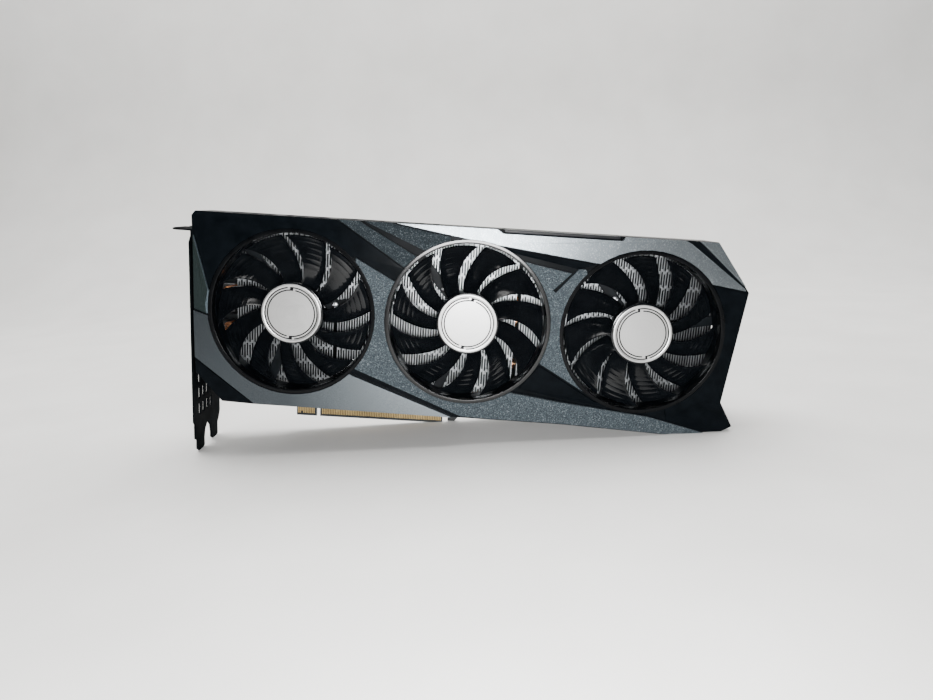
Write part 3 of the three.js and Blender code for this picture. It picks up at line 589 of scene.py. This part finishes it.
# The lip's section: out of sight behind the panels, flat at the front, then into the duct.
LIP_SECTION = [
    (41.75, 3.2), (42.0, 2.9), (42.03, 1.5), (41.97, 1.41),
    (41.85, 1.4), (41.0, 1.4), (40.35, 1.4), (40.2, 1.44),
    (40.05, 1.6), (40.0, 2), (39.95, 4.5), (39.92, 6.4), (40.15, 6.3), (40.6, 5.2),
]


def bell_mouth(side):
    """The glossy rounded lip that lines one opening, from the face to the duct."""
    b = Build()
    b.lathe(LIP_SECTION, FAN_X[side], segments=160, ring=True)
    b.piece(f"bell_mouth_{side}", [LIP[side]])


for side in SIDES:
    fan_rotor(side)
    fan_cap(side)
    bell_mouth(side)


# ---------- heatsink ----------
FIN_PITCH = 1.35
FIN_THICK = 0.28
LIP_WIDTH = 0.56
LIP_DEPTH = 0.3
TAB_ROWS = (-38, -29.5, -21, 4, 12.5, 21, 29.5, 38)
TAB_HEIGHT = 1.6
TAB_SHIFT = 1.1
TAB_GAP = 0.12
# The fins are cut along the shroud's tail corner: from height z at this x, falling by slope.
TAIL_CUT_X = 117
TAIL_CUT_Z = 40
TAIL_CUT_SLOPE = -30 / 23
BACK_SPINE = 0.5


def fin_stack(side):
    """Upright fins whose front edges carry rows of small folded tabs. The fin bodies behind the bright lips and
    the back spine are in painted shade.
    """
    x0, x1, y0, y1, z0, z1 = face_box(f"fin_stack_{side}")
    b = Build()
    count = int((x1 - x0 - FIN_THICK) / FIN_PITCH)
    for i in range(count + 1):
        x = x0 + i * FIN_PITCH
        top = min(z1, TAIL_CUT_Z + (x + FIN_THICK - TAIL_CUT_X) * TAIL_CUT_SLOPE)
        # The fin body is in painted shade; the lip in front keeps the bright aluminium.
        b.block(x, x + FIN_THICK, y0 + 0.1, y1, z0, top, 0.06, material=1)
        b.block(x, x + min(LIP_WIDTH, x1 - x), y0, y0 + LIP_DEPTH, z0, top, 0.08)
        if i == count:
            break
        for row in TAB_ROWS:
            z = row + TAB_SHIFT * (i % 2)
            if z0 + 1 < z < top - TAB_HEIGHT - 1:
                b.block(x + FIN_THICK, x + FIN_PITCH - TAB_GAP, y0 + 0.02, y0 + 0.36, z, z + TAB_HEIGHT, 0.08)
    # The back spine is in painted shade too.
    b.block(x0, x1, y1 - BACK_SPINE, y1, z0 + 6, z1 - 9, 0.1, material=1)
    b.piece(
        f"fins_{side}", [MATERIAL["fin_aluminium"], FIN_PAINTED_SHADE],
        replaces=[f"fin_stack_{side}"],
    )


for side in SIDES:
    fin_stack(side)


# ---------- screws ----------
SCREW_SEGMENTS = 48
SCREW_RINGS = 12
# The cross recess, as shares of the head's radius, and its depth.
CROSS_HALF = 0.17
CROSS_REACH = 0.62
CROSS_DEPTH = 0.8
DOME = 0.35
HEAD_DEPTH = 1.2
SHANK_SHARE = 0.45
COOLER_HEAD_R = 2.8
BACKPLATE_HEAD_R = 2.4


def screw_head(b, x, z, radius, face, back, towards=-1):
    """A domed head with a cross recess. Its top is at depth face, and towards is -1 if it faces the front."""
    rings = []
    for i in range(SCREW_RINGS + 1):
        r = radius * i / SCREW_RINGS
        dome = DOME * (r / radius) ** 3
        ring = []
        for k in range(SCREW_SEGMENTS):
            a = 2 * math.pi * k / SCREW_SEGMENTS
            u, v = abs(r * math.cos(a)), abs(r * math.sin(a))
            in_cross = min(u, v) < CROSS_HALF * radius and r < CROSS_REACH * radius
            y = face - towards * (dome + (CROSS_DEPTH if in_cross else 0))
            ring.append((x + r * math.cos(a), y, z + r * math.sin(a)))
        rings.append(ring)
    rings.append([(p[0], back, p[2]) for p in rings[-1]])
    rings.append([(x, back, z)] * SCREW_SEGMENTS)
    b.quads(rings)


def screws_over(prefix, count, radius):
    """Detailed screws in place of the CAD ones, all seen from the back."""
    shank = radius * SHANK_SHARE
    for i in range(1, count + 1):
        x0, x1, y0, y1, z0, z1 = face_box(f"{prefix}_{i}")
        x, z = (x0 + x1) / 2, (z0 + z1) / 2
        b = Build()
        screw_head(b, x, z, radius, y1, y1 - HEAD_DEPTH, towards=1)
        b.lathe([(0, y1 - 1), (shank, y1 - 1), (shank, y0 + 0.3), (radius * 0.3, y0), (0, y0)], x, z, 24)
        b.piece(f"{prefix}_head_{i}", [MATERIAL["steel"]], replaces=[f"{prefix}_{i}"])


screws_over("cooler_screw", 4, COOLER_HEAD_R)
screws_over("backplate_screw", 4, BACKPLATE_HEAD_R)

# Each motor carrier's arms are held by three screws, the first at ARM_ANGLE below the tail's direction.
ARM_ANGLE = 110
CARRIER_SCREW_R = 19.8
CARRIER_HEAD_R = 1.7
CARRIER_HEAD = (13.3, 14.4)
for side in SIDES:
    for i in range(3):
        a = math.radians(-ARM_ANGLE - 120 * i)
        x, z = FAN_X[side] + CARRIER_SCREW_R * math.cos(a), CARRIER_SCREW_R * math.sin(a)
        b = Build()
        screw_head(b, x, z, CARRIER_HEAD_R, *CARRIER_HEAD)
        b.piece(f"carrier_screw_{side}_{i + 1}", [MATERIAL["steel"]])


# ---------- connectors ----------
PAD_PITCH = 1.0
PAD_WIDTH = 0.72
PAD_START = 0.14
# Where the pads start above the card's edge and end below its root. One of them starts higher.
PAD_FOOT = 0.8
PAD_END = 2.6
SHORT_PAD = 2
SHORT_PAD_FOOT = 2
KEY_NOTCH = (10.75, 13.45)


def contact_pads(node):
    """Separate gold fingers on one face of the edge connector, with the gap at the key notch."""
    x0, x1, y0, y1, z0, z1 = face_box(node)
    key0, key1 = x0 + KEY_NOTCH[0], x0 + KEY_NOTCH[1]
    b = Build()
    for i in range(int((x1 - x0) / PAD_PITCH)):
        x = x0 + i * PAD_PITCH + PAD_START
        foot = SHORT_PAD_FOOT if i == SHORT_PAD else PAD_FOOT
        if x + PAD_WIDTH < key0 or x > key1:
            b.block(x, x + PAD_WIDTH, y0, y1, z0 + foot, z1 - PAD_END, 0.03)
    b.piece(f"{node}_pads", [MATERIAL["gold"]], replaces=[node])


contact_pads("contacts_front")
contact_pads("contacts_back")

PORTS = 4
PORTS_WITH_ONE_CUT = 2
PORT_CUT = 1.6
PORT_WALL = 0.5
PORT_EDGE = 0.15
PORT_FLOOR = 1.0
TONGUE_HALF = 0.7
TONGUE_INSET = 2.2
PORT_PINS = 8
PIN_ROW_INSET = 2.9
PIN_WIDTH = 0.4


def port_loop(x, y0, y1, z0, z1, both):
    """A port's outline in a plane across the card: two corners of one side are cut, or just one."""
    other = PORT_CUT if both else 0.3
    return [
        (x, y0 + PORT_CUT, z0), (x, y1 - 0.3, z0), (x, y1, z0 + 0.3), (x, y1, z1 - 0.3), (x, y1 - 0.3, z1),
        (x, y0 + other, z1), (x, y0, z1 - other), (x, y0, z0 + PORT_CUT),
    ]


def port_shell(i):
    """A thin shell open at the bracket, with a tongue that carries a row of pins."""
    x0, x1, y0, y1, z0, z1 = face_box(f"video_port_{i}")
    both = i > PORTS_WITH_ONE_CUT
    section = [
        (x1, 0), (x0 + PORT_EDGE, 0), (x0, PORT_EDGE), (x0 + PORT_EDGE, PORT_WALL),
        (x1 - PORT_FLOOR, PORT_WALL),
    ]
    b = Build()
    b.tube([port_loop(x, y0 + inset, y1 - inset, z0 + inset, z1 - inset, both) for x, inset in section])
    middle = (y0 + y1) / 2
    tongue = (middle - TONGUE_HALF, middle + TONGUE_HALF, z0 + TONGUE_INSET, z1 - TONGUE_INSET)
    b.block(x0 + 1.2, x1 - 0.9, *tongue, 0.2, material=1)
    pin_face = middle - TONGUE_HALF
    pin_pitch = (z1 - z0 - 2 * PIN_ROW_INSET - PIN_WIDTH) / (PORT_PINS - 1)
    for k in range(PORT_PINS):
        z = z0 + PIN_ROW_INSET + k * pin_pitch
        pin = (pin_face - 0.15, pin_face + 0.05, z, z + PIN_WIDTH)
        b.block(x0 + 1.6, x1 - PORT_FLOOR, *pin, 0.05, material=2)
    # The shell is in the painted-shade steel.
    b.piece(
        f"port_shell_{i}", [PORT_STEEL_PAINTED_SHADE, MATERIAL["socket_plastic"], MATERIAL["gold"]],
        replaces=[f"video_port_{i}"],
    )


for i in range(1, PORTS + 1):
    port_shell(i)

SOCKET_WALL = 0.8
SOCKET_ROWS = 2
SOCKET_DEPTH = 10.5
PIN_HALF = 0.55
PIN_BELOW_RIM = 2.2


def cuts(start, cell, count):
    """The places of the walls' faces along one side of a socket."""
    steps = [SOCKET_WALL, cell] * count + [SOCKET_WALL]
    return [start + sum(steps[:k]) for k in range(len(steps) + 1)]


def power_plug(node, columns):
    """A two-row power socket that opens upwards, with a pin in each cell."""
    x0, x1, y0, y1, z0, z1 = face_box(node)
    cell_x = (x1 - x0 - SOCKET_WALL * (columns + 1)) / columns
    cell_y = (y1 - y0 - SOCKET_WALL * (SOCKET_ROWS + 1)) / SOCKET_ROWS
    x_cuts = cuts(x0, cell_x, columns)
    y_cuts = cuts(y0, cell_y, SOCKET_ROWS)
    floor = z1 - SOCKET_DEPTH
    b = Build()

    def quad(*points):
        b.bm.faces.new([b.bm.verts.new(p) for p in points])

    for i in range(len(x_cuts) - 1):
        for k in range(len(y_cuts) - 1):
            u0, u1, v0, v1 = x_cuts[i], x_cuts[i + 1], y_cuts[k], y_cuts[k + 1]
            quad((u0, v0, z0), (u0, v1, z0), (u1, v1, z0), (u1, v0, z0))
            if i % 2 == 0 or k % 2 == 0:
                quad((u0, v0, z1), (u1, v0, z1), (u1, v1, z1), (u0, v1, z1))
                continue
            quad((u0, v0, floor), (u1, v0, floor), (u1, v1, floor), (u0, v1, floor))
            corners = [(u0, v0), (u1, v0), (u1, v1), (u0, v1)]
            for p, q in zip(corners, corners[1:] + corners[:1]):
                quad((*p, z1), (*q, z1), (*q, floor), (*p, floor))
    edge = [(x, y0) for x in x_cuts] + [(x1, y) for y in y_cuts[1:]]
    edge += [(x, y1) for x in x_cuts[-2::-1]] + [(x0, y) for y in y_cuts[-2:0:-1]]
    for p, q in zip(edge, edge[1:] + edge[:1]):
        quad((*p, z0), (*q, z0), (*q, z1), (*p, z1))
    for i in range(columns):
        for k in range(SOCKET_ROWS):
            u = x0 + SOCKET_WALL + cell_x / 2 + i * (cell_x + SOCKET_WALL)
            v = y0 + SOCKET_WALL + cell_y / 2 + k * (cell_y + SOCKET_WALL)
            pin = (u - PIN_HALF, u + PIN_HALF, v - PIN_HALF, v + PIN_HALF)
            b.block(*pin, floor - 0.2, z1 - PIN_BELOW_RIM, 0.3, material=1)
    materials = [MATERIAL["socket_plastic"], MATERIAL["gold"]]
    b.piece(f"{node}_cells", materials, replaces=[node])


power_plug("power_socket_8", 4)
power_plug("power_socket_6", 3)


# ---------- parts on the circuit board ----------
PART_PITCH = 8.4
CHOKE_WIDTH = 6.6
CHOKE_HEIGHT = 4
CHOKE_X = [-6 + i * PART_PITCH for i in range(6)]
SIDE_CHOKE_X = (-122, -112, -102)
CHOKE_Z = (31, 38)
# A power chip sits below each choke of the main row.
CHIP_SPAN = (0.6, 5.6)
CHIP_HEIGHT = 1.2
CHIP_Z = (25.5, 29.5)
CAN_X = [24 + i * PART_PITCH for i in range(5)]
CAN_Z = -44
# Radius and height above the board round a capacitor's can, from its top down.
CAN_SECTION = [(0, 5.6), (2.7, 5.6), (3, 5.3), (3, 0.9), (2.75, 0.7), (3, 0.5), (3, 0.05), (0, 0.05)]
SMALL_PARTS = 170
SMALL_SIZES = ((1.6, 0.8), (1, 0.5), (2.2, 1.3))
SMALL_HEIGHT = 0.7
SMALL_X = (-125, 78)
SMALL_ROWS_Z = (-48, 30)
SMALL_SPREAD_Z = (-7, 8)
SEED = 7
# How far short of the board's face the parts end.
BOARD_GAP = 0.05
PROCESSOR_X = -44
PROCESSOR_CLEAR = 34
CHOKE_ROW_Z = (25, 39)
CHOKE_ROW_START = -8
SIDE_CHOKES_END = -94
CAN_ROW_TOP = -36
CAN_ROW_X = (18, 62)


def free_place(x, z):
    """Whether a small part at (x, z) is clear of the chokes, the cans and the processor."""
    near_processor = abs(x - PROCESSOR_X) < PROCESSOR_CLEAR
    taken = x > CHOKE_ROW_START or x < SIDE_CHOKES_END or near_processor
    in_choke_row = CHOKE_ROW_Z[0] < z < CHOKE_ROW_Z[1] and taken
    in_can_row = z < CAN_ROW_TOP and CAN_ROW_X[0] < x < CAN_ROW_X[1]
    return not (in_choke_row or in_can_row)


def board_parts():
    """Chokes, capacitors and small parts in the free areas between the board and the heat pipes."""
    board = face_box("circuit_board")[2]
    foot = board - BOARD_GAP
    b = Build()
    for x in CHOKE_X:
        b.block(x, x + CHOKE_WIDTH, board - CHOKE_HEIGHT, foot, *CHOKE_Z, 0.6)
        b.block(x + CHIP_SPAN[0], x + CHIP_SPAN[1], board - CHIP_HEIGHT, foot, *CHIP_Z, 0.2, material=2)
    for x in CAN_X:
        b.lathe([(r, board - height) for r, height in CAN_SECTION], x, CAN_Z, 40, material=1)
    for x in SIDE_CHOKE_X:
        b.block(x, x + CHOKE_WIDTH, board - CHOKE_HEIGHT, foot, *CHOKE_Z, 0.6)
    draw = random.Random(SEED)
    for _ in range(SMALL_PARTS):
        x, z = draw.uniform(*SMALL_X), draw.choice(SMALL_ROWS_Z) + draw.uniform(*SMALL_SPREAD_Z)
        long, high = draw.choice(SMALL_SIZES)
        if draw.random() < 0.5:
            long, high = high, long
        if free_place(x, z):
            b.block(x, x + long, board - SMALL_HEIGHT, foot, z, z + high, 0.08, material=3)
    materials = [FERRITE, MATERIAL["steel"], MATERIAL["chip_package"], CERAMIC]
    b.piece("board_parts", materials)


board_parts()


# ---------- stage, lights and camera (lengths in metres from here on) ----------
STAGE_TONES = ((0.74, 0.735, 0.72), (0.8, 0.795, 0.78))
STAGE_FRONT = -2.2
WALL_DEPTH = 0.75
WALL_HEIGHT = 1.6
STAGE_HALF = 2.5
COVE_R = 0.3
COVE_STEPS = 15
# The card stands on the tip of its bracket's rear tongue and on its tail's lower corner.
TIP_INSET = 0.011
TAIL_INSET = 0.005
TAIL_BELOW_AXES = 0.0498


def stage():
    """A pale floor that the card's lowest points rest on, rising into a plain wall."""
    bracket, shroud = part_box("io_bracket"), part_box("shroud")
    tip_x, tip_z = bracket[0].x + TIP_INSET, bracket[0].z
    tail_x, tail_z = shroud[1].x - TAIL_INSET, FACE_ORIGIN.z - TAIL_BELOW_AXES
    slope = math.atan2(tail_z - tip_z, tail_x - tip_x)
    tone_size, grain = 60, 1.2
    n = Nodes("pale_stage", Roughness=0.7)
    n.color(n.ramp(n.noise(tone_size, 4), *STAGE_TONES))
    n.bump(n.noise(grain, 3), strength=0.1, depth=0.2)
    profile = [(STAGE_FRONT, 0.0), (WALL_DEPTH - COVE_R, 0.0)]
    for k in range(1, COVE_STEPS + 1):
        a = math.radians(90 / COVE_STEPS * k)
        profile.append((WALL_DEPTH - COVE_R + COVE_R * math.sin(a), COVE_R - COVE_R * math.cos(a)))
    profile.append((WALL_DEPTH, WALL_HEIGHT))
    bm = bmesh.new()
    left, right = [[bm.verts.new((x, y, z)) for y, z in profile] for x in (-STAGE_HALF, STAGE_HALF)]
    for k in range(len(profile) - 1):
        bm.faces.new((left[k], right[k], right[k + 1], left[k + 1]))
    mesh = bpy.data.meshes.new("stage")
    bm.to_mesh(mesh)
    bm.free()
    mesh.shade_smooth()
    mesh.materials.append(n.material)
    floor = bpy.data.objects.new("stage", mesh)
    floor.matrix_world = Matrix.Translation((tip_x, 0, tip_z)) @ Matrix.Rotation(-slope, 4, "Y")
    bpy.context.scene.collection.objects.link(floor)


# The camera fitted to the photograph: its eye in the face frame, in millimetres, and its angles in degrees.
CAMERA_EYE = (-5.1, -337.8, 58.2)
CAMERA_YAW, CAMERA_PITCH, CAMERA_ROLL = 0.91, 11.96, -3.53
SENSOR_WIDTH = 36
FOCAL_LENGTH = 26.2148


def camera():
    yaw, pitch, roll = (math.radians(a) for a in (CAMERA_YAW, CAMERA_PITCH, CAMERA_ROLL))
    ahead = Vector((math.sin(yaw) * math.cos(pitch), math.cos(yaw) * math.cos(pitch), -math.sin(pitch)))
    level = Vector((math.cos(yaw), -math.sin(yaw), 0))
    down = ahead.cross(level)
    right = math.cos(roll) * level + math.sin(roll) * down
    below = math.cos(roll) * down - math.sin(roll) * level
    data = bpy.data.cameras.new("camera")
    data.sensor_width = SENSOR_WIDTH
    data.lens = FOCAL_LENGTH
    data.clip_start, data.clip_end = 0.01, 20
    obj = bpy.data.objects.new("camera", data)
    bpy.context.scene.collection.objects.link(obj)
    turn = Matrix((right, -below, -ahead)).transposed().to_4x4()
    obj.matrix_world = Matrix.Translation(FACE @ Vector(CAMERA_EYE)) @ turn
    bpy.context.scene.camera = obj


def area_light(name, location, target, size, power, color=(1, 1, 1)):
    """A rectangular light at location that shines at target."""
    data = bpy.data.lights.new(name, "AREA")
    data.shape = "RECTANGLE"
    data.size, data.size_y = size
    data.energy = power
    data.color = color
    obj = bpy.data.objects.new(name, data)
    bpy.context.scene.collection.objects.link(obj)
    turn = (target - location).to_track_quat("-Z", "Y").to_matrix().to_4x4()
    obj.matrix_world = Matrix.Translation(location) @ turn


def lights():
    """A small key light just under the camera, soft light from above and behind, and a dim surround."""
    centre = (cad_box[0] + cad_box[1]) / 2
    area_light("key", FACE @ Vector((4, -335, 30)), FACE @ Vector((0, 0, 20)), (0.11, 0.055), 2.1)
    for name, offset, size, power, color in (
        ("top", (-0.1, 0.25, 0.95), (1.4, 0.9), 28, (1, 0.99, 0.97)),
        ("side", (1.1, 0.5, 0.6), (0.7, 0.9), 3, (0.96, 0.98, 1)),
        ("back", (-0.8, 0.5, 0.8), (1.0, 0.6), 6, (1, 1, 1)),
    ):
        area_light(name, centre + Vector(offset), centre, size, power, color)
    world = bpy.data.worlds.new("world")
    world.use_nodes = True
    surround = world.node_tree.nodes["Background"]
    surround.inputs["Color"].default_value = (0.9, 0.92, 0.95, 1)
    surround.inputs["Strength"].default_value = 0.05
    bpy.context.scene.world = world


stage()
camera()
lights()
